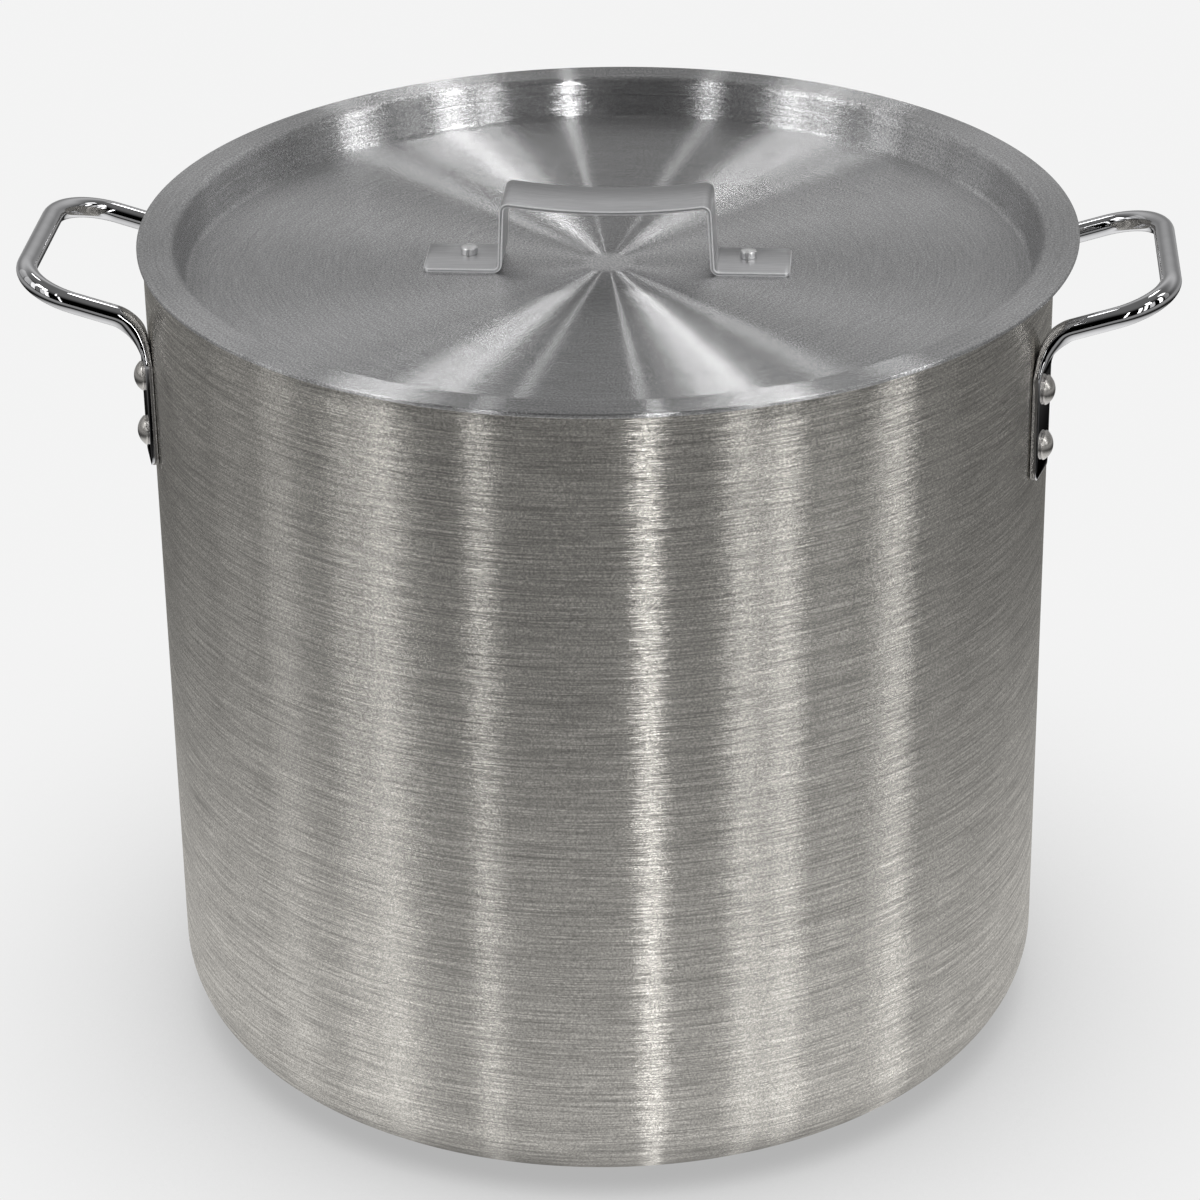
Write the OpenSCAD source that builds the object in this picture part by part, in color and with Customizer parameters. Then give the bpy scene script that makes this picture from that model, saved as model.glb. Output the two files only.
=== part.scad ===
// Commercial aluminium stock pot with a loose recessed lid.
// Origin: centre of the flat base, on the table. +Z up, side handles on the X axis,
// the lid's strap handle along X, front towards -Y.

/* [Pot] */
// Outside diameter of the pot wall
pot_d = 430; // [380:1:480]
// Height of the pot from the table to its rim
pot_h = 405; // [340:1:460]
// Thickness of the wall
wall_t = 3.5; // [3:0.1:4]
// Thickness of the base
base_t = 4.5; // [4:0.1:6]
// Outside radius of the corner between base and wall
base_corner_r = 38; // [30:1:45]

/* [Lid] */
// Thickness of the lid sheet
lid_t = 2.2; // [1.8:0.1:2.5]
// How far the flange stands out past the pot wall
flange_overhang = 7; // [6:0.5:10]
// Width of the flat flange, from its edge to the start of the shoulder
flange_w = 14; // [13:0.5:16]
// Radius of the shoulder between flange and recess
shoulder_r = 4; // [3.5:0.5:5]
// Depth of the recess floor below the flange
recess_depth = 20; // [16:1:26]
// How far the recess wall leans in from shoulder to floor
recess_lean = 3; // [1:0.5:5]
// Radius in the corner between recess wall and floor
recess_corner_r = 3; // [2.6:0.1:4]
// How far the loose lid sits off the pot's centre, towards +X
lid_nudge = 4.5; // [0:0.5:4.5]

/* [Lid strap handle] */
// Width of the strap
strap_w = 32; // [26:1:38]
// Thickness of the strap
strap_t = 2; // [1.6:0.1:2.4]
// Overall length across both feet
strap_len = 173.5; // [160:0.5:190]
// Distance between the two uprights where they meet the feet
strap_span = 100.5; // [90:0.5:104]
// Height of the upper corners above the recess floor
strap_h = 35; // [30:1:42]
// Lean of each upright towards the middle, in degrees
strap_lean = 3; // [0:0.5:6]
// Sag of the grip at its middle
strap_sag = 3.2; // [1:0.1:5]
// Bend radius at the middle of the sheet
strap_bend_r = 3.2; // [2.5:0.1:4]

/* [Side handles] */
// Diameter of the handle rod
rod_d = 10; // [8:0.5:11]
// Distance between the two arms of the loop, centre to centre
loop_w = 116; // [104:1:128]
// Length of the loop from knee to outer bar
loop_len = 58; // [56:1:72]
// Rise of the loop above level, in degrees
loop_tilt = 17; // [8:1:22]
// Bend radius of the loop's outer corners
loop_corner_r = 28; // [20:1:30]
// Bend radius of the knee
knee_r = 14; // [12:1:16]
// Height of the knee below the pot rim
knee_drop = 27.5; // [25:0.5:30]
// Width of the flattened leg
leg_w = 22; // [18:1:26]
// Thickness of the flattened leg
leg_t = 3.8; // [3:0.1:4.2]
// Distance from the pot rim down to the end of the leg
leg_drop = 97.5; // [96.5:0.5:108]

/* [Rivets] */
// Diameter of a side handle rivet's domed head
rivet_head_d = 14; // [12:0.5:15]
// Height of a side handle rivet's domed head
rivet_head_h = 4.4; // [3:0.1:5]
// Diameter of a side handle rivet's shank
rivet_shank_d = 6; // [5:0.5:7]
// Distance from the pot rim down to the upper rivets
upper_rivet_drop = 55; // [55:0.5:60]
// Vertical distance between the upper and the lower rivets
rivet_pitch = 28; // [24:0.5:28]
// Diameter of a lid rivet's head
lid_rivet_head_d = 8; // [7:0.5:10]
// Height of a lid rivet's head
lid_rivet_head_h = 4; // [2:0.1:4.5]
// Diameter of a lid rivet's shank
lid_rivet_shank_d = 4.8; // [4:0.1:5.5]
// Distance between the two lid rivets
lid_rivet_span = 133; // [130:1:140]
// How far the lid rivets sit behind the middle of the strap
lid_rivet_back = 4; // [0:0.5:6]

/* [Hidden] */

// Facets of the large rounds, the small rounds and the blended pieces
$fn = 64;
large_fn = 240;
blend_fn = 32;

// Sides of the pot, as seen from the front
left = 180;
right = 0;
front = -1;
rear = 1;

// Radial gap between a rivet shank and its hole
hole_gap = 0.1;

// The knee laps over the arm by this angle, and its radius is this much larger
knee_lap = 1;
knee_swell = 0.01;

pot_r = pot_d / 2;
inner_r = pot_r - wall_t;

// Lid levels and radii: the flange rests on the rim
flange_top = pot_h + lid_t;
lid_r = pot_r + flange_overhang;
shoulder_start = lid_r - flange_w;
recess_top_r = shoulder_start - shoulder_r;
recess_bottom_r = recess_top_r - recess_lean;
floor_top = flange_top - recess_depth;
lid_edge_r = lid_t * 0.35;

// Strap: two uprights lean in, and the grip is an arc whose ends slope down from the corners.
// Centres are in the strap's side view, with the middle of the feet's sheet at height 0.
strap_upright_len =
    (strap_h - strap_t - 2 * strap_bend_r * (1 - sin(strap_lean))) / cos(strap_lean);
upright_inset = strap_bend_r * (2 * cos(strap_lean) - 1) + strap_upright_len * sin(strap_lean);
grip_slope = 2 * atan(strap_sag / (strap_span / 2 - upright_inset));
grip_half = strap_span / 2 - upright_inset - strap_bend_r * sin(grip_slope);
grip_r = grip_half / sin(grip_slope);
lower_bend = [strap_span / 2 + strap_bend_r, strap_bend_r];
upper_bend = [strap_span / 2 - upright_inset, strap_h - strap_t - strap_bend_r];
grip_centre = [0, upper_bend.y + (strap_bend_r + grip_r) * cos(grip_slope)];
bend_steps = 12;
grip_steps = 24;

// Side handle: the rod stands just clear of the wall, the legs lie on it
rod_r = rod_d / 2;
rod_gap = 0.3;
rod_centre_r = pot_r + rod_r + rod_gap;
leg_angle = asin(loop_w / 2 / rod_centre_r);
arm_x = rod_centre_r * cos(leg_angle);
knee_z = pot_h - knee_drop;
knee_turn = 90 - loop_tilt;
knee_tangent = knee_r * tan(knee_turn / 2);
arm_len = loop_len - knee_tangent - loop_corner_r;
bar_len = loop_w - 2 * loop_corner_r;
leg_end_z = pot_h - leg_drop;
leg_end_r = 2.5;
upper_rivet_z = pot_h - upper_rivet_drop;
lower_rivet_z = upper_rivet_z - rivet_pitch;
neck_top_z = knee_z - knee_tangent;
neck_end_z = upper_rivet_z + rivet_head_d / 2 + 0.5;

// Half section of a round vessel body with a rounded base corner
module vessel_section(radius, height, corner) {
    square([radius - corner, height]);
    translate([0, corner]) square([radius, height - corner]);
    translate([radius - corner, corner]) circle(r = corner, $fn = large_fn);
}

// Places its children on the wall, +X pointing out, at one leg of a side handle
module at_leg(side, face) {
    handed = side == left ? -face : face;
    rotate([0, 0, side + handed * leg_angle]) children();
}

// Places its children with +Z pointing out of the wall at a rivet of a side handle
module at_side_rivet(side, face, height) {
    at_leg(side, face) translate([0, 0, height]) rotate([0, 90, 0]) children();
}

// The two legs of one side handle
module at_both_legs(side) {
    for (face = [front, rear]) at_leg(side, face) children();
}

module pot_shell() {
    color("silver") difference() {
        rotate_extrude($fn = large_fn) difference() {
            union() {
                vessel_section(pot_r, pot_h - wall_t / 2, base_corner_r);
                translate([pot_r - wall_t / 2, pot_h - wall_t / 2]) circle(d = wall_t);
            }
            translate([0, base_t]) vessel_section(inner_r, pot_h, base_corner_r - wall_t);
        }
        for (side = [left, right])
            for (face = [front, rear])
                for (height = [lower_rivet_z, upper_rivet_z])
                    at_side_rivet(side, face, height)
                        translate([0, 0, pot_r - 2 * wall_t])
                            cylinder(d = rivet_shank_d + 2 * hole_gap, h = 4 * wall_t);
    }
}

module lid_disc() {
    color("gainsboro") translate([lid_nudge, 0, 0]) difference() {
        rotate_extrude($fn = large_fn) lid_section();
        for (side = [-1, 1])
            translate([side * lid_rivet_span / 2, lid_rivet_back, floor_top - 2 * lid_t])
                cylinder(d = lid_rivet_shank_d + 2 * hole_gap, h = 4 * lid_t);
    }
}

// Half section of the spun lid sheet: flange, shoulder, recess wall, corner and floor
module lid_section() {
    corner_centre = [recess_bottom_r - recess_corner_r, floor_top + recess_corner_r];
    shoulder_centre = [shoulder_start, flange_top - shoulder_r];
    // Floor
    translate([0, floor_top - lid_t]) square([corner_centre.x, lid_t]);
    // Corner between floor and recess wall
    intersection() {
        translate(corner_centre) difference() {
            circle(r = recess_corner_r + lid_t);
            circle(r = recess_corner_r);
        }
        translate([corner_centre.x, floor_top - lid_t])
            square([recess_corner_r + lid_t, recess_corner_r + lid_t]);
    }
    // Recess wall
    polygon([
        [recess_bottom_r, corner_centre.y],
        [recess_bottom_r + lid_t, corner_centre.y],
        [recess_top_r + lid_t, shoulder_centre.y],
        [recess_top_r, shoulder_centre.y]
    ]);
    // Shoulder
    intersection() {
        translate(shoulder_centre) difference() {
            circle(r = shoulder_r);
            circle(r = shoulder_r - lid_t);
        }
        translate([recess_top_r, shoulder_centre.y]) square([shoulder_r, shoulder_r]);
    }
    // Flange with a softened outer edge
    translate([shoulder_start, pot_h]) square([flange_w - lid_edge_r, lid_t]);
    translate([lid_r - 2 * lid_edge_r, pot_h + lid_edge_r])
        square([2 * lid_edge_r, lid_t - 2 * lid_edge_r]);
    for (level = [pot_h + lid_edge_r, flange_top - lid_edge_r])
        translate([lid_r - lid_edge_r, level]) circle(r = lid_edge_r);
}

// Points on an arc, from one angle up to but not including the other
function arc_points(centre, radius, from, to, steps) = [
    for (i = [0:steps - 1])
        let (angle = from + (to - from) * i / steps)
            centre + radius * [cos(angle), sin(angle)]
];

// One face of the strap, from the end of the right foot to just before the middle of the
// grip, at a distance above the middle of the sheet
function strap_face(above) = concat(
    [[strap_len / 2, above]],
    arc_points(lower_bend, strap_bend_r - above, -90, strap_lean - 180, bend_steps),
    [lower_bend + (strap_bend_r - above) * [-cos(strap_lean), -sin(strap_lean)]],
    arc_points(upper_bend, strap_bend_r + above, strap_lean, 90 + grip_slope, bend_steps),
    arc_points(grip_centre, grip_r - above, grip_slope - 90, -90, grip_steps)
);

function mirrored(points) = [for (p = points) [-p.x, p.y]];
function reversed(points) = [for (i = [len(points) - 1:-1:0]) points[i]];

// Side view of the bent strap
module strap_outline() {
    top = strap_face(strap_t / 2);
    under = strap_face(-strap_t / 2);
    top_middle = grip_centre - [0, grip_r - strap_t / 2];
    under_middle = grip_centre - [0, grip_r + strap_t / 2];
    polygon(concat(
        top,
        [top_middle],
        reversed(mirrored(top)),
        mirrored(under),
        [under_middle],
        reversed(under)
    ));
}

module lid_strap_handle() {
    color("whitesmoke") translate([lid_nudge, 0, floor_top + strap_t / 2]) difference() {
        rotate([90, 0, 0]) translate([0, 0, -strap_w / 2])
            linear_extrude(height = strap_w) strap_outline();
        for (side = [-1, 1])
            translate([side * lid_rivet_span / 2, lid_rivet_back, -2 * strap_t])
                cylinder(d = lid_rivet_shank_d + 2 * hole_gap, h = 4 * strap_t);
    }
}

module lid_rivet(side) {
    under_head_h = 1.4;
    grip = lid_t + strap_t;
    color("whitesmoke")
        translate([lid_nudge + side * lid_rivet_span / 2, lid_rivet_back, floor_top - lid_t]) {
            translate([0, 0, -under_head_h]) cylinder(d = lid_rivet_head_d, h = under_head_h);
            cylinder(d = lid_rivet_shank_d, h = grip);
            translate([0, 0, grip])
                rotate_extrude() button_section(lid_rivet_head_d, lid_rivet_head_h);
        }
}

// Half section of a button head: upright sides under a low crown
module button_section(head_d, head_h) {
    crown_h = head_h * 0.45;
    crown_r = (head_d * head_d / 4 + crown_h * crown_h) / (2 * crown_h);
    square([head_d / 2, head_h - crown_h]);
    intersection() {
        translate([0, head_h - crown_r]) circle(r = crown_r, $fn = large_fn);
        square([head_d / 2, head_h]);
    }
}

module lid_left_rivet() { lid_rivet(-1); }
module lid_right_rivet() { lid_rivet(1); }

// A straight piece of rod along +X. Its children continue from its far end.
module rod_run(length) {
    rotate([0, 90, 0]) cylinder(r = rod_r, h = length);
    translate([length, 0, 0]) children();
}

// A bend in the rod towards its own +Y. Its children continue, under its lap if it has one.
module rod_bend(radius, turn, lap = 0, swell = 0) {
    translate([0, radius, 0]) rotate([0, 0, -90])
        rotate_extrude(angle = turn + lap, $fn = large_fn / 2)
            translate([radius, 0]) circle(r = rod_r + swell);
    translate([0, radius, 0]) rotate([0, 0, turn]) translate([0, -radius, 0]) children();
}

// Half of the loop, from the bottom of the knee to the middle of the outer bar
module half_loop() {
    translate([arm_x, -loop_w / 2, neck_top_z]) rotate([0, -90, 0]) rotate([-90, 0, 0])
        rod_bend(knee_r, knee_turn, knee_lap, knee_swell)
            rotate([90, 0, 0])
                rod_run(arm_len)
                    rod_bend(loop_corner_r, 90)
                        rod_run(bar_len / 2);
}

// A slice of the wall-hugging leg, with its lower edge at the given height
module leg_slice(width, height, thickness) {
    intersection() {
        cylinder(r = pot_r + thickness, h = pot_h, $fn = large_fn);
        translate([pot_r - leg_t, -width / 2, height]) cube([3 * leg_t, width, 1]);
    }
}

// The flattened leg, lying on the wall, with rounded lower corners
module leg_plate() {
    intersection() {
        cylinder(r = pot_r + leg_t, h = pot_h, $fn = large_fn);
        translate([pot_r - leg_t, 0, 0]) rotate([90, 0, 90]) linear_extrude(height = 3 * leg_t) {
            translate([-leg_w / 2, leg_end_z + leg_end_r])
                square([leg_w, neck_end_z + 0.5 - leg_end_z - leg_end_r]);
            translate([leg_end_r - leg_w / 2, leg_end_z])
                square([leg_w - 2 * leg_end_r, leg_end_r]);
            for (edge = [-1, 1])
                translate([edge * (leg_w / 2 - leg_end_r), leg_end_z + leg_end_r])
                    circle(r = leg_end_r);
        }
    }
}

// The neck, where the round rod flattens and widens into the leg
module neck() {
    middle_z = (neck_top_z + neck_end_z) / 2;
    middle_w = rod_d + (leg_w - rod_d) * 0.55;
    middle_t = leg_t + (rod_d - leg_t) * 0.35;
    hull() {
        translate([rod_centre_r, 0, neck_top_z]) cylinder(r = rod_r, h = 0.5, $fn = blend_fn);
        leg_slice(middle_w, middle_z, middle_t, $fn = blend_fn);
    }
    hull() {
        leg_slice(middle_w, middle_z, middle_t, $fn = blend_fn);
        leg_slice(leg_w, neck_end_z, leg_t, $fn = blend_fn);
    }
}

module side_handle(side) {
    color("gainsboro") difference() {
        union() {
            rotate([0, 0, side]) {
                half_loop();
                mirror([0, 1, 0]) half_loop();
            }
            at_both_legs(side) {
                neck();
                leg_plate();
            }
        }
        cylinder(r = pot_r, h = pot_h, $fn = large_fn);
        for (face = [front, rear])
            for (height = [lower_rivet_z, upper_rivet_z])
                at_side_rivet(side, face, height)
                    translate([0, 0, pot_r - leg_t])
                        cylinder(d = rivet_shank_d + 2 * hole_gap, h = 4 * leg_t);
    }
}

module left_side_handle() { side_handle(left); }
module right_side_handle() { side_handle(right); }

// Half section of a domed head standing on the plane below it
module dome_section(head_d, head_h) {
    dome_r = (head_d * head_d / 4 + head_h * head_h) / (2 * head_h);
    intersection() {
        translate([0, head_h - dome_r]) circle(r = dome_r, $fn = large_fn);
        square([head_d / 2, head_h]);
    }
}

// A rivet through leg and wall. Both heads are pressed to the round of what they bear on.
module side_rivet(side, face, height) {
    inner_head_h = 2;
    seat = 0.5;
    skirt = 0.6;
    outer_face = pot_r + leg_t;
    color("whitesmoke") {
        at_side_rivet(side, face, height) translate([0, 0, inner_r - seat])
            cylinder(d = rivet_shank_d, h = wall_t + leg_t + 2 * seat);
        difference() {
            at_side_rivet(side, face, height) translate([0, 0, outer_face - seat]) {
                cylinder(d = rivet_head_d, h = seat + skirt);
                translate([0, 0, seat + skirt])
                    rotate_extrude() dome_section(rivet_head_d, rivet_head_h - skirt);
            }
            cylinder(r = outer_face, h = pot_h, $fn = large_fn);
        }
        intersection() {
            at_side_rivet(side, face, height) translate([0, 0, inner_r - inner_head_h])
                cylinder(d = rivet_head_d - 1, h = inner_head_h + seat);
            cylinder(r = inner_r, h = pot_h, $fn = large_fn);
        }
    }
}

module left_front_upper_rivet() { side_rivet(left, front, upper_rivet_z); }
module left_front_lower_rivet() { side_rivet(left, front, lower_rivet_z); }
module left_rear_upper_rivet() { side_rivet(left, rear, upper_rivet_z); }
module left_rear_lower_rivet() { side_rivet(left, rear, lower_rivet_z); }
module right_front_upper_rivet() { side_rivet(right, front, upper_rivet_z); }
module right_front_lower_rivet() { side_rivet(right, front, lower_rivet_z); }
module right_rear_upper_rivet() { side_rivet(right, rear, upper_rivet_z); }
module right_rear_lower_rivet() { side_rivet(right, rear, lower_rivet_z); }

pot_shell();
lid_disc();
lid_strap_handle();
lid_left_rivet();
lid_right_rivet();
left_side_handle();
right_side_handle();
left_front_upper_rivet();
left_front_lower_rivet();
left_rear_upper_rivet();
left_rear_lower_rivet();
right_front_upper_rivet();
right_front_lower_rivet();
right_rear_upper_rivet();
right_rear_lower_rivet();
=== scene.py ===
from math import asin, atan, cos, degrees, pi, radians, sin, sqrt, tan

import bmesh
import bpy
from mathutils import Matrix, Vector


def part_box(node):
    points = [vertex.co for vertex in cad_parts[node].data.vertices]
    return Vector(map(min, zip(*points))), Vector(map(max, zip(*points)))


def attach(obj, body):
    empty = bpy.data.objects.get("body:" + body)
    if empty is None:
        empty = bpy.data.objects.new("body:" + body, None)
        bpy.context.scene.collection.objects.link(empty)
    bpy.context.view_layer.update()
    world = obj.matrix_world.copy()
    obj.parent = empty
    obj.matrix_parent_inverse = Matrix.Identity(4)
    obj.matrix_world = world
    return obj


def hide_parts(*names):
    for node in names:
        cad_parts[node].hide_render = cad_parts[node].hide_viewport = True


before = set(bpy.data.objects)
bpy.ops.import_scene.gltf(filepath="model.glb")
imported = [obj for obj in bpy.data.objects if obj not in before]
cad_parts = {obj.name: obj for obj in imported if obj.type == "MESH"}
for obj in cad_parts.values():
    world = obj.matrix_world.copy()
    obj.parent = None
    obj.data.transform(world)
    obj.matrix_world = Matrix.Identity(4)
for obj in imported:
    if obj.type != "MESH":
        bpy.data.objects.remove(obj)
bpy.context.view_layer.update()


# ---------------------------------------------------------------- dimensions
# Metres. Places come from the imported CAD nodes; small forms repeat the sizes in the CAD.

MM = 0.001
pot_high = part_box("pot_shell")[1]
lid_low, lid_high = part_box("lid_disc")
strap_low, strap_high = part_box("lid_strap_handle")

POT_R = pot_high.x
POT_TOP = pot_high.z
WALL = 3.5 * MM
BASE = 4.5 * MM
BASE_CORNER = 38 * MM

LID_X = (lid_low.x + lid_high.x) / 2
LID_R = (lid_high.x - lid_low.x) / 2
LID_TOP = lid_high.z
LID_T = 2.2 * MM
LID_FLOOR = lid_low.z + LID_T
FLANGE_W = 14 * MM
SHOULDER_START = LID_R - FLANGE_W
SHOULDER_R = 4 * MM
RECESS_DRAFT = 3 * MM  # how far the recess wall leans in from top to bottom
RECESS_TOP = SHOULDER_START - SHOULDER_R
RECESS_BOTTOM = RECESS_TOP - RECESS_DRAFT
RECESS_CORNER = 3 * MM
CREASE_DROP = 8.5 * MM

STRAP_X = (strap_low.x + strap_high.x) / 2
STRAP_W = strap_high.y - strap_low.y
STRAP_LEN = strap_high.x - strap_low.x
STRAP_H = strap_high.z - strap_low.z
STRAP_T = 2 * MM
STRAP_SPAN = 100.5 * MM
STRAP_LEAN = radians(3)
STRAP_SAG = 3.2 * MM
STRAP_BEND = 3.2 * MM

ROD = 10 * MM / 2  # radius
LOOP_W = 116 * MM
LEG_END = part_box("right_side_handle")[0].z
LOOP_LEN = 58 * MM
LOOP_TILT = radians(17)
LOOP_CORNER = 28 * MM
KNEE_R = 14 * MM
KNEE_DROP = 27.5 * MM
KNEE_Z = POT_TOP - KNEE_DROP
LEG_W = 22 * MM
LEG_T = 3.8 * MM
LEG_TIP = 2.5 * MM  # radius of the corners at a leg's end
ROD_GAP = 0.3 * MM  # between the rod and the wall at the top of a leg
ROD_CENTRE = POT_R + ROD + ROD_GAP
LEG_ANGLE = asin(LOOP_W / 2 / ROD_CENTRE)
KNEE_TURN = pi / 2 - LOOP_TILT
NECK_TOP = KNEE_Z - KNEE_R * tan(KNEE_TURN / 2)
NECK_ABOVE_RIVET = 0.5 * MM
NECK = NECK_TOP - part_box("right_front_upper_rivet")[1].z - NECK_ABOVE_RIVET


# ---------------------------------------------------------------- mesh helpers

POT_STEPS = 288
LID_STEPS = 320
RIVET_STEPS = 40
BUTTON_STEPS = 36
AXIS = 1e-7  # a smaller radius is on the axis, a shorter run is no run
SHARP = radians(40)  # faces that meet at a wider angle are shaded as an edge


def arc(cx, cy, r, start, end, steps):
    """Points on an arc, both ends included. Angles in degrees."""
    return [(cx + r * cos(radians(start + (end - start) * i / steps)),
             cy + r * sin(radians(start + (end - start) * i / steps))) for i in range(steps + 1)]


def with_supports(path, distance):
    """Adds points beside the ends of each long straight run, to keep its shading flat."""
    out = [path[0]]
    for a, b in zip(path, path[1:]):
        dx, dy = b[0] - a[0], b[1] - a[1]
        length = sqrt(dx * dx + dy * dy)
        if length < AXIS:
            continue
        if length > 6 * distance:
            s = distance / length
            out.append((a[0] + dx * s, a[1] + dy * s))
            out.append((b[0] - dx * s, b[1] - dy * s))
        out.append(b)
    return out


def new_piece(name, bm, body, node, material):
    """A visible piece that rides a body and stands for a CAD node."""
    bmesh.ops.recalc_face_normals(bm, faces=bm.faces)
    mesh = bpy.data.meshes.new(name)
    bm.to_mesh(mesh)
    bm.free()
    mesh.shade_smooth()
    mesh.set_sharp_from_angle(angle=SHARP)
    mesh.materials.append(material)
    piece = bpy.data.objects.new(name, mesh)
    bpy.context.scene.collection.objects.link(piece)
    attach(piece, body)
    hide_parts(node)
    return piece


def join_rings(bm, rings):
    """Faces between neighbouring rings of vertices. A ring of one vertex is a pole."""
    for a, b in zip(rings, rings[1:]):
        n = max(len(a), len(b))
        for i in range(n):
            j = (i + 1) % n
            corners = [a[i % len(a)], a[j % len(a)], b[j % len(b)], b[i % len(b)]]
            corners = list(dict.fromkeys(corners))
            if len(corners) > 2:
                bm.faces.new(corners)


def spin(path, steps, place=Matrix.Identity(4)):
    """A turned solid from points (radius, height) that begin and end on the axis."""
    bm = bmesh.new()
    rings = []
    for r, z in path:
        if r < AXIS:
            rings.append([bm.verts.new(place @ Vector((0, 0, z)))])
        else:
            rings.append([bm.verts.new(place @ Vector((r * cos(2 * pi * i / steps),
                                                       r * sin(2 * pi * i / steps), z)))
                          for i in range(steps)])
    join_rings(bm, rings)
    return bm


# ---------------------------------------------------------------- shader helpers

HAIR_SHARE = 0.72    # of the fine scratches in the pattern; the rest are broad ones
STREAK_SHARE = 0.78  # of the sharp anisotropic reflection; the rest is a wide one


class Shader:
    """Short calls for building a node tree: each adds a node and links its inputs."""

    def __init__(self, tree):
        self.tree = tree
        tree.nodes.clear()

    def node(self, kind, inputs=None, **settings):
        n = self.tree.nodes.new(kind)
        for key, value in settings.items():
            setattr(n, key, value)
        for key, value in (inputs or {}).items():
            if isinstance(value, bpy.types.Node):
                value = value.outputs[0]
            if isinstance(value, bpy.types.NodeSocket):
                self.tree.links.new(value, n.inputs[key])
            else:
                n.inputs[key].default_value = value
        return n

    def math(self, operation, *values):
        return self.node("ShaderNodeMath", dict(enumerate(values)), operation=operation).outputs[0]

    def vector(self, operation, *values):
        n = self.node("ShaderNodeVectorMath", operation=operation)
        for i, value in enumerate(values):
            key = 3 if operation == "SCALE" and i == 1 else i
            if isinstance(value, bpy.types.NodeSocket):
                self.tree.links.new(value, n.inputs[key])
            else:
                n.inputs[key].default_value = value
        return n.outputs["Value" if operation == "LENGTH" else "Vector"]

    def spread(self, value, low, high, to_low=0.0, to_high=1.0, kind="LINEAR"):
        return self.node("ShaderNodeMapRange", {
            "Value": value, "From Min": low, "From Max": high, "To Min": to_low,
            "To Max": to_high}, interpolation_type=kind).outputs[0]

    def hump(self, value, low, mid, high):
        """1 at mid, falling smoothly to 0 at low and at high."""
        return self.math("SUBTRACT", self.spread(value, low, mid, kind="SMOOTHSTEP"),
                         self.spread(value, mid, high, kind="SMOOTHSTEP"))

    def weighted_sum(self, parts, weights):
        total = 0.0
        for key, value in parts.items():
            total = self.math("MULTIPLY_ADD", value, weights[key], total)
        return total

    def noise(self, vector, scale, detail):
        return self.node("ShaderNodeTexNoise", {"Vector": vector, "Scale": scale,
                                                "Detail": detail}).outputs[0]

    def xyz(self, x, y, z):
        return self.node("ShaderNodeCombineXYZ", {0: x, 1: y, 2: z}).outputs[0]

    def split(self, vector):
        return self.node("ShaderNodeSeparateXYZ", {0: vector}).outputs


def new_material(name):
    m = bpy.data.materials.new(name)
    m.use_nodes = True
    return m, Shader(m.node_tree)


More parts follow.
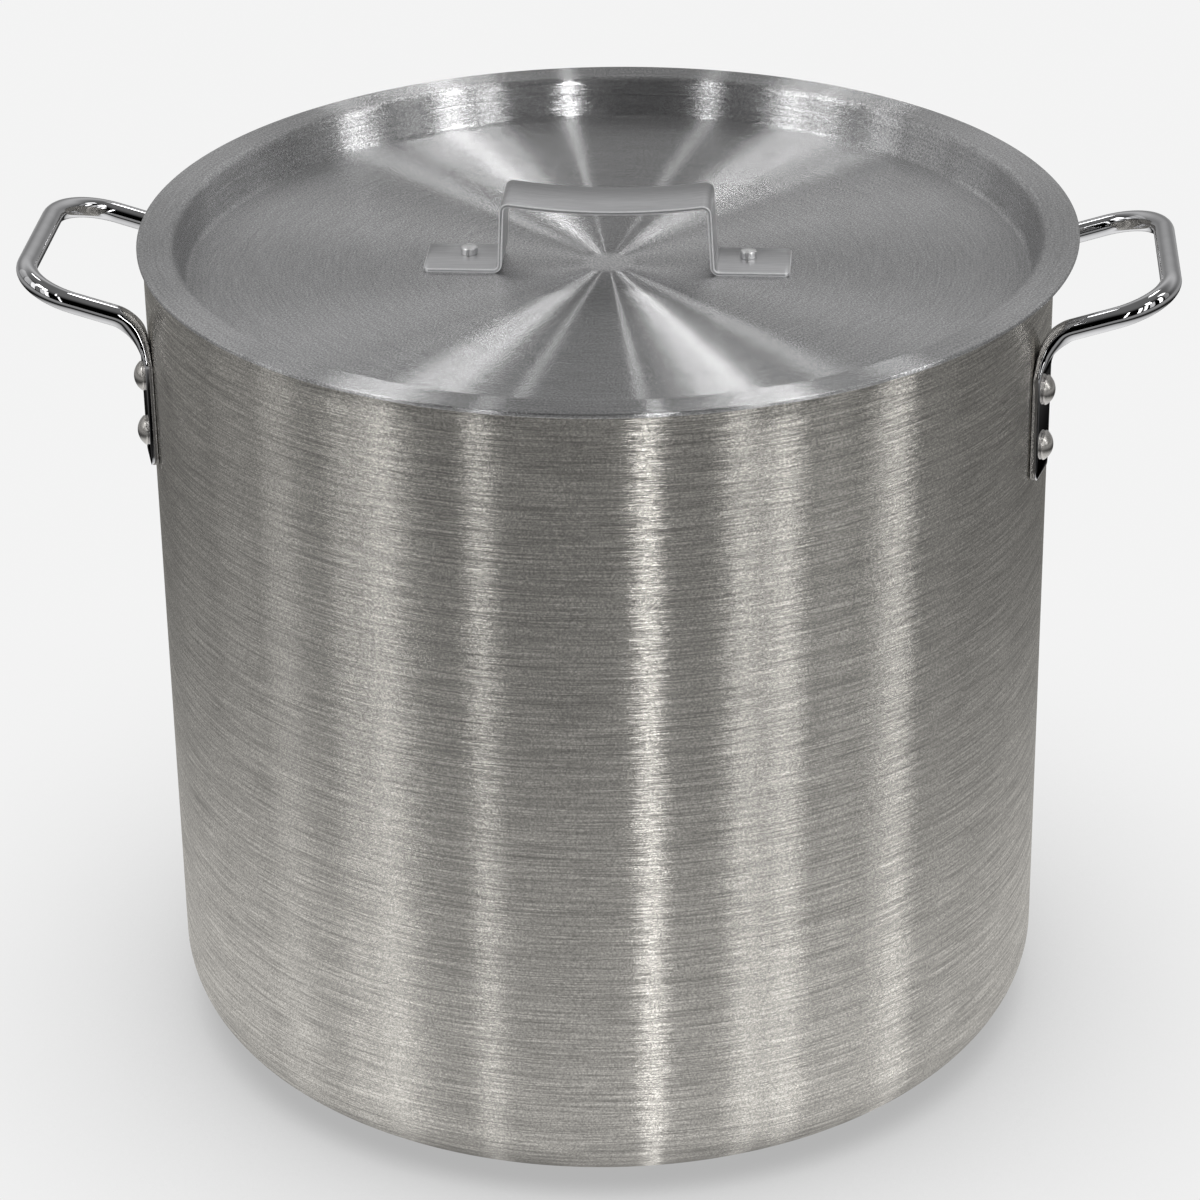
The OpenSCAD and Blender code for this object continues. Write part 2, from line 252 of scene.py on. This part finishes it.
def turned_metal(name, centre_x, colour, along, across, line_pitch, line_arc, line_contrast,
                 ragged, mottle, grit):
    """Metal with fine scratches round a vertical axis.

    along and across are the spread of a highlight along the scratches and across them.
    line_pitch and line_arc are the height and the turn of a scratch. line_contrast, mottle
    and grit are how much the tone varies by scratch, in clouds and from grain to grain.
    ragged is how far a scratch tips the normal along itself, which breaks up the edges of
    the highlights."""
    m, s = new_material(name)
    where = s.node("ShaderNodeTexCoord").outputs["Object"]
    where = s.vector("SUBTRACT", where, (centre_x, 0, 0))
    x, y, z = s.split(where)
    r = s.math("MAXIMUM", s.vector("LENGTH", s.xyz(x, y, 0.0)), 0.002)
    ux, uy = s.math("DIVIDE", x, r), s.math("DIVIDE", y, r)
    down = s.math("SUBTRACT", z, r)

    def lines(turn, pitch, shift, detail):
        return s.noise(s.xyz(s.math("MULTIPLY_ADD", ux, 1 / turn, shift),
                             s.math("MULTIPLY", uy, 1 / turn),
                             s.math("MULTIPLY_ADD", down, 1 / pitch, shift)), 1.0, detail)

    hair = lines(line_arc, line_pitch, 3.1, 3.0)
    broad = lines(1.5 * line_arc, 3.3 * line_pitch, 11.7, 2.0)
    tip = lines(0.3 * line_arc, 1.1 * line_pitch, 29.3, 1.0)
    grain = s.noise(where, 1100.0, 2.0)
    cloud = s.noise(where, 9.0, 3.0)

    lines_sum = s.math("ADD", s.math("MULTIPLY", hair, HAIR_SHARE),
                       s.math("MULTIPLY", broad, 1 - HAIR_SHARE))
    tone = s.spread(lines_sum, 0.34, 0.66, 1 - line_contrast, 1 + line_contrast)
    tone = s.math("MULTIPLY", tone, s.spread(cloud, 0.3, 0.7, 1 - mottle, 1 + mottle))
    tone = s.math("MULTIPLY", tone, s.spread(grain, 0.3, 0.7, 1 - grit, 1 + grit))
    base = s.vector("SCALE", colour, tone)

    tangent = s.node("ShaderNodeTangent", direction_type="RADIAL", axis="Z")
    around = s.xyz(s.math("MULTIPLY", uy, -1.0), ux, 0.0)
    bump = s.node("ShaderNodeBump", {"Height": hair, "Strength": 0.35, "Distance": 0.00012})
    tilt = s.vector("SCALE", around, s.spread(tip, 0.3, 0.7, -ragged, ragged))
    normal = s.vector("NORMALIZE", s.vector("ADD", bump.outputs[0], tilt))
    mean = (along * across) ** 0.25
    rough = s.spread(lines_sum, 0.3, 0.7, mean * 1.08, mean * 0.92)
    turning = s.spread(r, 3 * MM, 13 * MM, 0.0, 1 - sqrt(along / across))  # none at the axis
    streaks = s.node("ShaderNodeBsdfAnisotropic", {
        "Color": base, "Roughness": rough, "Anisotropy": turning,
        "Normal": normal, "Tangent": tangent}, distribution="GGX")
    body = s.node("ShaderNodeBsdfPrincipled", {
        "Base Color": base, "Metallic": 1.0, "Roughness": 0.42, "Anisotropic": 0.9,
        "Anisotropic Rotation": 0.25, "Normal": normal, "Tangent": tangent})
    s.node("ShaderNodeOutputMaterial", {"Surface": s.node("ShaderNodeMixShader", {
        0: STREAK_SHARE, 1: body, 2: streaks})})
    return m


def polished_metal(name, colour, roughness, wave):
    """Plated metal: a mirror with faint polishing waves, a trace of haze and a painted sheen that
    lightens its colour at grazing angles.
    """
    m, s = new_material(name)
    where = s.node("ShaderNodeTexCoord").outputs["Object"]
    haze = s.noise(where, 120.0, 4.0)
    ripple = s.noise(where, 55.0, 1.0)
    bump = s.node("ShaderNodeBump", {"Height": ripple, "Strength": wave, "Distance": 0.0015})
    # painted sheen: the colour grows up to 1.4 times lighter where the surface is seen at a grazing
    # angle
    painted_grazing_sheen = s.node("ShaderNodeLayerWeight", {"Blend": 0.3}).outputs["Facing"]
    tone = s.math("MULTIPLY", s.spread(haze, 0.3, 0.7, 0.93, 1.03),
                  s.spread(painted_grazing_sheen, 0.0, 1.0, 1.0, 1.4))
    shader = s.node("ShaderNodeBsdfPrincipled", {
        "Base Color": s.vector("SCALE", colour, tone), "Metallic": 1.0, "Normal": bump,
        "Roughness": s.spread(haze, 0.35, 0.75, roughness * 0.6, roughness * 1.6)})
    s.node("ShaderNodeOutputMaterial", {"Surface": shader})
    return m


def satin_metal(name, colour, roughness, stretch, fineness, metallic=1.0):
    """Rolled or headed aluminium: fine grain per metre, drawn out along X by stretch."""
    m, s = new_material(name)
    where = s.node("ShaderNodeTexCoord").outputs["Object"]
    x, y, z = s.split(where)
    drawn = s.xyz(s.math("MULTIPLY", x, 1.0 / stretch), y, z)
    grain = s.noise(drawn, fineness, 3.0)
    marks = s.noise(drawn, fineness / 5, 3.0)
    both = s.math("ADD", s.math("MULTIPLY", grain, 0.6), s.math("MULTIPLY", marks, 0.4))
    bump = s.node("ShaderNodeBump", {"Height": both, "Strength": 0.2, "Distance": 0.00004})
    shader = s.node("ShaderNodeBsdfPrincipled", {
        "Base Color": s.vector("SCALE", colour, s.spread(both, 0.35, 0.65, 0.90, 1.06)),
        "Metallic": metallic, "Normal": bump,
        "Roughness": s.spread(both, 0.35, 0.65, roughness * 1.15, roughness * 0.88)})
    s.node("ShaderNodeOutputMaterial", {"Surface": shader})
    return m


wall_finish = turned_metal("brushed_wall", centre_x=0.0, colour=(0.65, 0.628, 0.585),
                           along=0.008, across=0.50, line_pitch=0.45 * MM, line_arc=0.13,
                           line_contrast=0.31, ragged=0.025, mottle=0.03, grit=0.30)
lid_finish = turned_metal("spun_lid", centre_x=LID_X, colour=(0.69, 0.69, 0.695),
                          along=0.007, across=0.50, line_pitch=0.40 * MM, line_arc=0.12,
                          line_contrast=0.09, ragged=0.011, mottle=0.02, grit=0.28)
chrome = polished_metal("chrome_plate", (0.60, 0.60, 0.61), roughness=0.045, wave=0.03)
strap_finish = satin_metal("rolled_strap", (0.64, 0.64, 0.65), roughness=0.36, stretch=12.0,
                           fineness=900.0)
# a rough sheared finish for the strap's edges; its near-white colour is a painted highlight line
# along them
sheared_edge_painted_highlight = satin_metal("sheared_edge_painted_highlight", (0.95, 0.95, 0.96), roughness=0.40, stretch=1.0,
                           fineness=2500.0, metallic=0.3)
rivet_finish = satin_metal("rivet_satin", (0.62, 0.60, 0.57), roughness=0.28, stretch=1.0,
                           fineness=3500.0)
button_finish = satin_metal("button_satin", (0.84, 0.84, 0.84), roughness=0.30, stretch=1.0,
                            fineness=3500.0)


# ---------------------------------------------------------------- pot

def pot_profile():
    rim = WALL / 2
    inner_corner = BASE_CORNER - WALL
    path = [(0, 0), (POT_R - BASE_CORNER, 0)]
    path += arc(POT_R - BASE_CORNER, BASE_CORNER, BASE_CORNER, -90, 0, 24)[1:]
    path += arc(POT_R - rim, POT_TOP - rim, rim, 0, 180, 10)
    path += arc(POT_R - WALL - inner_corner, BASE + inner_corner, inner_corner, 0, -90, 24)
    path += [(0, BASE)]
    return with_supports(path, 0.5 * MM)


new_piece("pot_body", spin(pot_profile(), POT_STEPS), "pot", "pot_shell",
          wall_finish)


# ---------------------------------------------------------------- lid

def lid_profile():
    """Up the underside from the middle, round the flange's edge and back over the top."""
    t = LID_T
    edge = 0.7 * MM
    slope = degrees(atan(RECESS_DRAFT / (LID_TOP - SHOULDER_R - LID_FLOOR - RECESS_CORNER)))
    corner_x, corner_z = RECESS_BOTTOM - RECESS_CORNER, LID_FLOOR + RECESS_CORNER
    shoulder_x, shoulder_z = SHOULDER_START, LID_TOP - SHOULDER_R
    outer = [(0, LID_FLOOR - t)]
    outer += arc(corner_x, corner_z, RECESS_CORNER + t, -90, -slope, 10)
    outer += arc(shoulder_x, shoulder_z, SHOULDER_R - t, 180 - slope, 90, 8)
    outer += arc(LID_R - edge, LID_TOP - t + edge, edge, -90, 0, 5)
    outer += arc(LID_R - edge, LID_TOP - edge, edge, 0, 90, 5)
    outer += arc(shoulder_x, shoulder_z, SHOULDER_R, 90, 180 - slope, 14)
    for drop, depth in ((-0.6, 0.0), (-0.25, 0.22), (0.1, 0.26), (0.45, 0.0)):
        level = LID_TOP - CREASE_DROP - drop * MM
        share = (shoulder_z - level) / (shoulder_z - corner_z)
        outer.append((RECESS_TOP + (RECESS_BOTTOM - RECESS_TOP) * share + depth * MM, level))
    outer += arc(corner_x, corner_z, RECESS_CORNER, -slope, -90, 10)
    outer += [(0, LID_FLOOR)]
    return with_supports(outer, 0.4 * MM)


new_piece("lid_plate", spin(lid_profile(), LID_STEPS, Matrix.Translation((LID_X, 0, 0))), "lid",
          "lid_disc", lid_finish)


# ---------------------------------------------------------------- strap handle

def strap_line():
    """Middle of the strap's sheet from its centre to the end of a foot, as (x, z, normal)."""
    upright = (STRAP_H - STRAP_T - 2 * STRAP_BEND * (1 - sin(STRAP_LEAN))) / cos(STRAP_LEAN)
    inset = STRAP_BEND * (2 * cos(STRAP_LEAN) - 1) + upright * sin(STRAP_LEAN)
    slope = 2 * atan(STRAP_SAG / (STRAP_SPAN / 2 - inset))
    grip_r = (STRAP_SPAN / 2 - inset - STRAP_BEND * sin(slope)) / sin(slope)
    upper = (STRAP_SPAN / 2 - inset, STRAP_H - STRAP_T - STRAP_BEND)
    lower = (STRAP_SPAN / 2 + STRAP_BEND, STRAP_BEND)
    grip_z = upper[1] + (STRAP_BEND + grip_r) * cos(slope)
    line = []

    def bend(cx, cz, r, start, end, steps, outward):
        """An arc of the line; outward is -1 where the sheet's top side faces its centre."""
        for i in steps:
            a = start + (end - start) * i / steps[-1]
            line.append((cx + r * cos(a), cz + r * sin(a), (outward * cos(a), outward * sin(a))))

    bend(0.0, grip_z, grip_r, -pi / 2, slope - pi / 2, range(17), -1)
    bend(*upper, STRAP_BEND, pi / 2 + slope, STRAP_LEAN, range(1, 13), 1)
    bend(*lower, STRAP_BEND, STRAP_LEAN - pi, -pi / 2, range(13), -1)
    for back in (28, 26, 22, 16, 8, 3, 2.4, 1.8, 1.2, 0.7, 0.35, 0.12, 0.0):
        line.append((STRAP_LEN / 2 - back * MM, 0.0, (0.0, 1.0)))
    return line[:1] + [p for last, p in zip(line, line[1:]) if p[:2] != last[:2]]


def strap_mesh():
    half = strap_line()
    line = [(-x, z, (-n[0], n[1])) for x, z, n in reversed(half[1:])] + half
    level = strap_low.z + STRAP_T / 2
    soft, round_r, burr = 0.45 * MM, 2.5 * MM, 0.35 * MM
    bm = bmesh.new()
    rings = []
    for x, z, n in line:
        to_end = STRAP_LEN / 2 - abs(x)
        half_w, half_t = STRAP_W / 2, STRAP_T / 2
        if to_end < round_r:
            half_w -= round_r - sqrt(max(0.0, round_r ** 2 - (round_r - to_end) ** 2))
        if to_end < soft:
            half_t -= soft - sqrt(max(0.0, soft ** 2 - (soft - to_end) ** 2))
        ring = []
        for cy, start in ((1, 0), (-1, 90), (-1, 180), (1, 270)):
            for i in range(5):
                a = radians(start + 90 * i / 4)
                across = cy * (half_w - burr) + burr * cos(a)
                above = half_t * sin(a)
                ring.append(bm.verts.new((STRAP_X + x + n[0] * above, across,
                                          level + z + n[1] * above)))
        rings.append(ring)
    join_rings(bm, rings)
    bm.faces.new(rings[0])
    bm.faces.new(rings[-1])
    bmesh.ops.remove_doubles(bm, verts=bm.verts, dist=1e-6)
    return bm


strap = new_piece("lid_strap", strap_mesh(), "lid", "lid_strap_handle",
                  strap_finish)
strap.data.materials.append(sheared_edge_painted_highlight)
# The burrs along both borders of the sheared edge, and the ends of the feet, get the rougher edge
# finish, whose near-white colour is a painted highlight line.
for face in strap.data.polygons:
    from_side = STRAP_W / 2 - abs(face.center.y)
    outer_end = abs(face.center.x - STRAP_X) > STRAP_LEN / 2 - 0.4 * MM
    if 0.04 * MM < from_side < 0.34 * MM or outer_end:
        face.material_index = 1


# ---------------------------------------------------------------- side handles

RING = 32  # points round the rod


def section(half_u, half_v, corner, under=None):
    """Points (v, u) round a rounded rectangle that becomes a circle when all sizes are equal.

    under is the corner radius on the side of the wall."""
    points = []
    for su, sv, start in ((1, 1, 0), (1, -1, 90), (-1, -1, 180), (-1, 1, 270)):
        c = under if sv < 0 and under else corner
        for i in range(RING // 4):
            a = radians(start + 90 * i / (RING // 4 - 1))
            points.append((sv * (half_v - c) + c * cos(a), su * (half_u - c) + c * sin(a)))
    return points


def half_handle():
    """Rings of points from the tip of the front right leg to the middle of the outer bar."""
    turn = -LEG_ANGLE
    soft = 0.7 * MM  # radius of a leg's long edges
    rings = []

    def leg_ring(z, half_u, centre, half_v, corner):
        ring = []
        for v, u in section(half_u, half_v, corner, min(half_v, corner + soft)):
            r = centre + v
            a = turn + u / (POT_R + LEG_T / 2)
            ring.append(Vector((r * cos(a), r * sin(a), z)))
        rings.append(ring)

    def rod_ring(p, up, side, twist, half_u=ROD, half_v=ROD, corner=ROD):
        ring = []
        for v, u in section(half_u, half_v, corner):
            v -= ROD - half_v
            ring.append(p - (cos(twist) * v - sin(twist) * u) * up
                        + (sin(twist) * v + cos(twist) * u) * side)
        rings.append(ring)

    plate_centre = POT_R + LEG_T / 2
    for s in (0.0, 0.15, 0.4, 0.7, 1.1, 1.6, 2.5, 5.0, 12, 20, 30, 40):
        s *= MM
        half_u = LEG_W / 2
        if s < LEG_TIP:
            half_u -= LEG_TIP - sqrt(LEG_TIP ** 2 - (LEG_TIP - s) ** 2)
        half_v = LEG_T / 2
        if s < soft:
            half_v -= soft - sqrt(soft ** 2 - (soft - s) ** 2)
        leg_ring(LEG_END + s, half_u, plate_centre, half_v, min(soft, half_v))
    neck_low = NECK_TOP - NECK
    flat_in_knee = 0.75 * KNEE_TURN
    forged = NECK + KNEE_R * flat_in_knee

    def forged_size(distance):
        """Half width, half thickness and corner of the rod at a distance above the plate."""
        t = min(1.0, distance / forged)
        t = t * t * (3 - 2 * t)
        half_u = LEG_W / 2 + (ROD - LEG_W / 2) * t ** 0.8
        half_v = LEG_T / 2 + (ROD - LEG_T / 2) * t
        return half_u, half_v, min(soft + (ROD - soft) * t ** 0.7, half_u, half_v)

    for i in range(15):
        up_leg = NECK * i / 14
        half_u, half_v, corner = forged_size(up_leg)
        inner = POT_R + (ROD_CENTRE - ROD - POT_R) * i / 14
        leg_ring(neck_low + up_leg, half_u, inner + half_v, half_v, corner)

    start = Vector((ROD_CENTRE * cos(LEG_ANGLE), -LOOP_W / 2, NECK_TOP))
    for i in range(1, 19):
        a = KNEE_TURN * i / 18
        up = Vector((-cos(a), 0, sin(a)))
        half_u, half_v, corner = forged_size(NECK + KNEE_R * a)
        p = start + KNEE_R * Vector((1 - cos(a), 0, sin(a)))
        rod_ring(p, up, Vector((0, 1, 0)), turn * (1 - i / 18), half_u, half_v, corner)
    along = Vector((cos(LOOP_TILT), 0, sin(LOOP_TILT)))
    up = Vector((-sin(LOOP_TILT), 0, cos(LOOP_TILT)))
    arm = LOOP_LEN - KNEE_R * tan(KNEE_TURN / 2) - LOOP_CORNER
    p += arm * along
    corner_from = p.copy()
    for i in range(19):
        b = pi / 2 * i / 18
        p = corner_from + LOOP_CORNER * (along * sin(b) + Vector((0, 1 - cos(b), 0)))
        rod_ring(p, up, Vector((0, cos(b), 0)) - along * sin(b), 0.0)
    rod_ring(Vector((p.x, 0.0, p.z)), up, -along, 0.0)
    return rings


def side_handle_mesh(mirror):
    half = half_handle()
    whole = half + [[Vector((p.x, -p.y, p.z)) for p in ring] for ring in reversed(half[:-1])]
    bm = bmesh.new()
    rings = [[bm.verts.new(Vector((mirror * p.x, mirror * p.y, p.z))) for p in ring]
             for ring in whole]
    join_rings(bm, rings)
    bm.faces.new(rings[0])
    bm.faces.new(rings[-1])
    bmesh.ops.remove_doubles(bm, verts=bm.verts, dist=2e-6)
    return bm


for side, mirror in (("right", 1), ("left", -1)):
    new_piece(side + "_handle_loop", side_handle_mesh(mirror), "pot", side + "_side_handle",
              chrome)


# ---------------------------------------------------------------- rivets

def dome_rivet(place, head_r, head_h, shank_r, grip, inner_r, inner_h):
    """A set rivet: its outer head's seat is at height 0, its inner head below the grip."""
    skirt = 0.9 * MM
    rise = head_h - skirt
    dome_r = (head_r ** 2 + rise ** 2) / (2 * rise)
    half_angle = degrees(asin(head_r / dome_r))
    path = arc(0, head_h - dome_r, dome_r, 90, 90 - half_angle, 14)
    path = [(0, head_h)] + path[1:]
    path += [(head_r, skirt * 0.4), (head_r - 0.25 * MM, 0), (head_r - 0.4 * MM, -0.25 * MM),
             (shank_r, -0.25 * MM), (shank_r, -grip)]
    path += [(inner_r - 0.3 * MM, -grip), (inner_r, -grip - 0.3 * MM)]
    path += arc(inner_r - inner_h * 0.6, -grip - inner_h * 0.4, inner_h * 0.6, 0, -90, 5)
    path += [(0, -grip - inner_h)]
    return spin(path, RIVET_STEPS, place)


for side, base_angle in (("right", 0.0), ("left", pi)):
    for face, sign in (("front", -1), ("rear", 1)):
        handed = sign if side == "right" else -sign
        for level in ("upper", "lower"):
            node = f"{side}_{face}_{level}_rivet"
            low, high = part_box(node)
            a = base_angle + handed * LEG_ANGLE
            seat = POT_R + LEG_T
            out = Vector((cos(a), sin(a), 0))
            place = (Matrix.Translation(seat * out + Vector((0, 0, (low.z + high.z) / 2)))
                     @ Matrix.Rotation(a, 4, "Z") @ Matrix.Rotation(pi / 2, 4, "Y"))
            bm = dome_rivet(place, head_r=(high.z - low.z) / 2, head_h=4.4 * MM, shank_r=3 * MM,
                            grip=LEG_T + WALL, inner_r=6.5 * MM, inner_h=2 * MM)
            new_piece(f"{side}_{face}_{level}_rivet_head", bm, "pot", node,
                      rivet_finish)

for side in ("left", "right"):
    node = f"lid_{side}_rivet"
    low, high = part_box(node)
    head_r = (high.x - low.x) / 2
    foot_top = strap_low.z + STRAP_T
    head_h = high.z - foot_top
    crown = 0.18 * head_h  # the low dome on top of the button
    crown_r = (head_r ** 2 + crown ** 2) / (2 * crown)
    half_angle = degrees(asin(head_r / crown_r))
    path = [(0, head_h)] + arc(0, head_h - crown_r, crown_r, 90, 90 - half_angle, 10)[1:-1]
    shank_r, grip, under = 2.4 * MM, STRAP_T + LID_T, foot_top - low.z
    path += [(head_r - 0.35 * MM, head_h - crown + 0.05 * MM), (head_r, head_h - crown - 0.35 * MM),
             (head_r, 0.2 * MM), (head_r - 0.2 * MM, 0), (shank_r, 0), (shank_r, -grip),
             (head_r - 0.2 * MM, -grip), (head_r, -grip - 0.2 * MM), (head_r, -under + 0.4 * MM),
             (head_r - 0.4 * MM, -under), (0, -under)]
    centre = Vector(((low.x + high.x) / 2, (low.y + high.y) / 2, foot_top))
    new_piece(f"lid_{side}_rivet_head", spin(path, BUTTON_STEPS, Matrix.Translation(centre)), "lid",
              node, button_finish)


# ---------------------------------------------------------------- camera

CAMERA_DISTANCE = 1.945
CAMERA_ELEVATION = radians(21.42)
CAMERA_TURN = radians(4.2)
CAMERA_PITCH = radians(26.68)
CAMERA_HEADING = radians(4.4)
CAMERA_ROLL = radians(-0.87)
SENSOR = 36.0  # mm, as the focal length
FOCAL_LENGTH = 122.9

target = Vector((LID_X, 0, LID_TOP))
azimuth = CAMERA_TURN - pi / 2
toward = Vector((cos(CAMERA_ELEVATION) * cos(azimuth), cos(CAMERA_ELEVATION) * sin(azimuth),
                 sin(CAMERA_ELEVATION)))
lens = bpy.data.cameras.new("camera")
lens.sensor_width = SENSOR
lens.lens = FOCAL_LENGTH
camera = bpy.data.objects.new("camera", lens)
bpy.context.scene.collection.objects.link(camera)
camera.matrix_world = (Matrix.Translation(target + CAMERA_DISTANCE * toward)
                       @ Matrix.Rotation(CAMERA_HEADING, 4, "Z")
                       @ Matrix.Rotation(pi / 2 - CAMERA_PITCH, 4, "X")
                       @ Matrix.Rotation(CAMERA_ROLL, 4, "Z"))
bpy.context.scene.camera = camera


# ---------------------------------------------------------------- lights

STRIP_DISTANCE = 5.0
VIEW_SPREAD = 0.91  # horizontal share of the direction to the camera
AIM = Vector((0, 0, 0.25))


def streak_direction(streak, elevation, behind):
    """Level direction to a light whose highlight is at this angle round the wall, 0 in front."""
    t, c = radians(streak), cos(radians(elevation))
    root = sqrt(max(0.0, c * c - (VIEW_SPREAD * sin(t)) ** 2))
    k = VIEW_SPREAD * cos(t) + (-root if behind else root)
    return Vector((k * sin(t), VIEW_SPREAD - k * cos(t), 0)).to_2d()


def strip_light(name, streak, elevation, width, height, watts, behind):
    """A soft strip light. Width and height are in degrees as seen from the pot."""
    flat = Matrix.Rotation(CAMERA_TURN, 2) @ streak_direction(streak, elevation, behind)
    e = radians(elevation)
    d = Vector((flat.normalized().x * cos(e), flat.normalized().y * cos(e), sin(e)))
    data = bpy.data.lights.new(name, "AREA")
    data.shape = "RECTANGLE"
    data.size = STRIP_DISTANCE * radians(width)
    data.size_y = STRIP_DISTANCE * radians(height)
    data.energy = watts
    light = bpy.data.objects.new(name, data)
    light.location = AIM + STRIP_DISTANCE * d
    light.rotation_euler = (-d).to_track_quat("-Z", "Y").to_euler()
    bpy.context.scene.collection.objects.link(light)


# name, streak on the wall, elevation, width and height in degrees, watts, behind the pot
for row in (
    ("front_a", -60, 22, 18, 36, 4.0, False),
    ("front_b", -50, 22, 16, 36, 7.5, False),
    ("front_c", -42.5, 22, 10, 36, 11.9, False),
    ("front_d", -37, 22, 8, 36, 1.4, False),
    ("front_e", -32, 22, 8, 36, 6.2, False),
    ("front_f", -27.5, 22, 7, 36, 12.3, False),
    ("front_g", -14.9, 22, 3, 36, 8.5, False),
    ("front_h", 5.4, 22, 3, 36, 22.0, False),
    ("front_i", 17, 22, 6, 36, 15.9, False),
    ("front_j", 22.6, 22, 6, 36, 11.0, False),
    ("front_k", 29, 22, 9, 36, 6.5, False),
    ("front_l", 38, 22, 7, 36, 21.0, False),
    ("front_m", 45, 22, 10, 36, 2.4, False),
    ("high_a", -32, 48, 9, 16, 17.0, False),
    ("high_b", -26, 48, 6, 16, 12.3, False),
    ("high_c", -14.9, 48, 2, 16, 4.7, False),
    ("high_d", 22, 48, 8, 16, 25.6, False),
    ("high_e", 37, 48, 8, 16, 7.7, False),
    ("back_a", -31, 56, 5, 10, 5.5, True),
    ("back_d", 20, 60, 4, 10, 8.2, True),
    ("back_e", 25, 60, 4, 10, 1.0, True),
):
    strip_light(*row)


# ---------------------------------------------------------------- room and floor

# Brightness of the parts of the room and of the rings of the floor that the metal reflects.
ROOM = {"zenith": 0.19, "back_mid": 0.60, "back_low": 0.29}
FLOOR = {"near": 0.88, "mid": 0.69, "far": 0.37}

FLOOR_REACH = 14.0
BACKDROP = 0.92  # brightness of the room as the camera sees it

world = bpy.data.worlds.new("studio")
bpy.context.scene.world = world
world.use_nodes = True
s = Shader(world.node_tree)
dx, dy, dz = s.split(s.node("ShaderNodeTexCoord").outputs["Generated"])
rise = s.math("MAXIMUM", dz, 0.0)
back = s.hump(dy, -0.2, 0.8, 5.0)
glow = s.weighted_sum({"zenith": s.hump(rise, 0.6, 0.95, 2.0),
                       "back_mid": s.math("MULTIPLY", back, s.hump(rise, 0.1, 0.55, 0.9)),
                       "back_low": s.math("MULTIPLY", back, s.hump(rise, -1.0, 0.05, 0.45))}, ROOM)
seen = s.node("ShaderNodeLightPath").outputs["Is Camera Ray"]
strength = s.node("ShaderNodeMix", {"Factor": seen, 2: glow, 3: BACKDROP}, data_type="FLOAT")
s.node("ShaderNodeOutputWorld", {"Surface": s.node("ShaderNodeBackground", {
    "Color": (1, 1, 1, 1), "Strength": strength.outputs[0]})})

mesh = bpy.data.meshes.new("floor")
bm = bmesh.new()
corners = ((-1, -1), (1, -1), (1, 1), (-1, 1))
bm.faces.new([bm.verts.new((FLOOR_REACH * x, FLOOR_REACH * y, 0)) for x, y in corners])
bm.to_mesh(mesh)
bm.free()
floor = bpy.data.objects.new("floor", mesh)
bpy.context.scene.collection.objects.link(floor)
floor_look, s = new_material("glowing_floor_painted_shadow")
floor_look.cycles.emission_sampling = "NONE"
place = s.node("ShaderNodeTexCoord").outputs["Object"]
fx, fy, _ = s.split(place)
away = s.vector("LENGTH", s.xyz(fx, fy, 0.0))
# For reflected rays the floor glows in rings of set brightness: it is no lamp, but it stands in for
# a lit floor.
glow = s.weighted_sum({"near": s.hump(away, 0.16, 0.27, 0.5), "mid": s.hump(away, 0.2, 0.5, 0.75),
                       "far": s.hump(away, 0.75, 1.5, 30.0)}, FLOOR)
# Painted contact shadow: where the camera sees it, the glowing floor is darkened from 0.90 to 0.45
# by ambient occlusion round the pot.
hidden = s.node("ShaderNodeAmbientOcclusion", {"Distance": 0.35}, samples=16).outputs["AO"]
shade = s.spread(hidden, 0.25, 0.95, 0.45, 0.90, kind="SMOOTHSTEP")
seen = s.node("ShaderNodeLightPath").outputs["Is Camera Ray"]
mixed = s.node("ShaderNodeMix", {"Factor": seen, 2: glow, 3: shade}, data_type="FLOAT")
s.node("ShaderNodeOutputMaterial", {"Surface": s.node("ShaderNodeEmission", {
    "Color": (1, 1, 1, 1), "Strength": mixed.outputs[0]})})
mesh.materials.append(floor_look)

bpy.context.scene.view_settings.view_transform = "Standard"
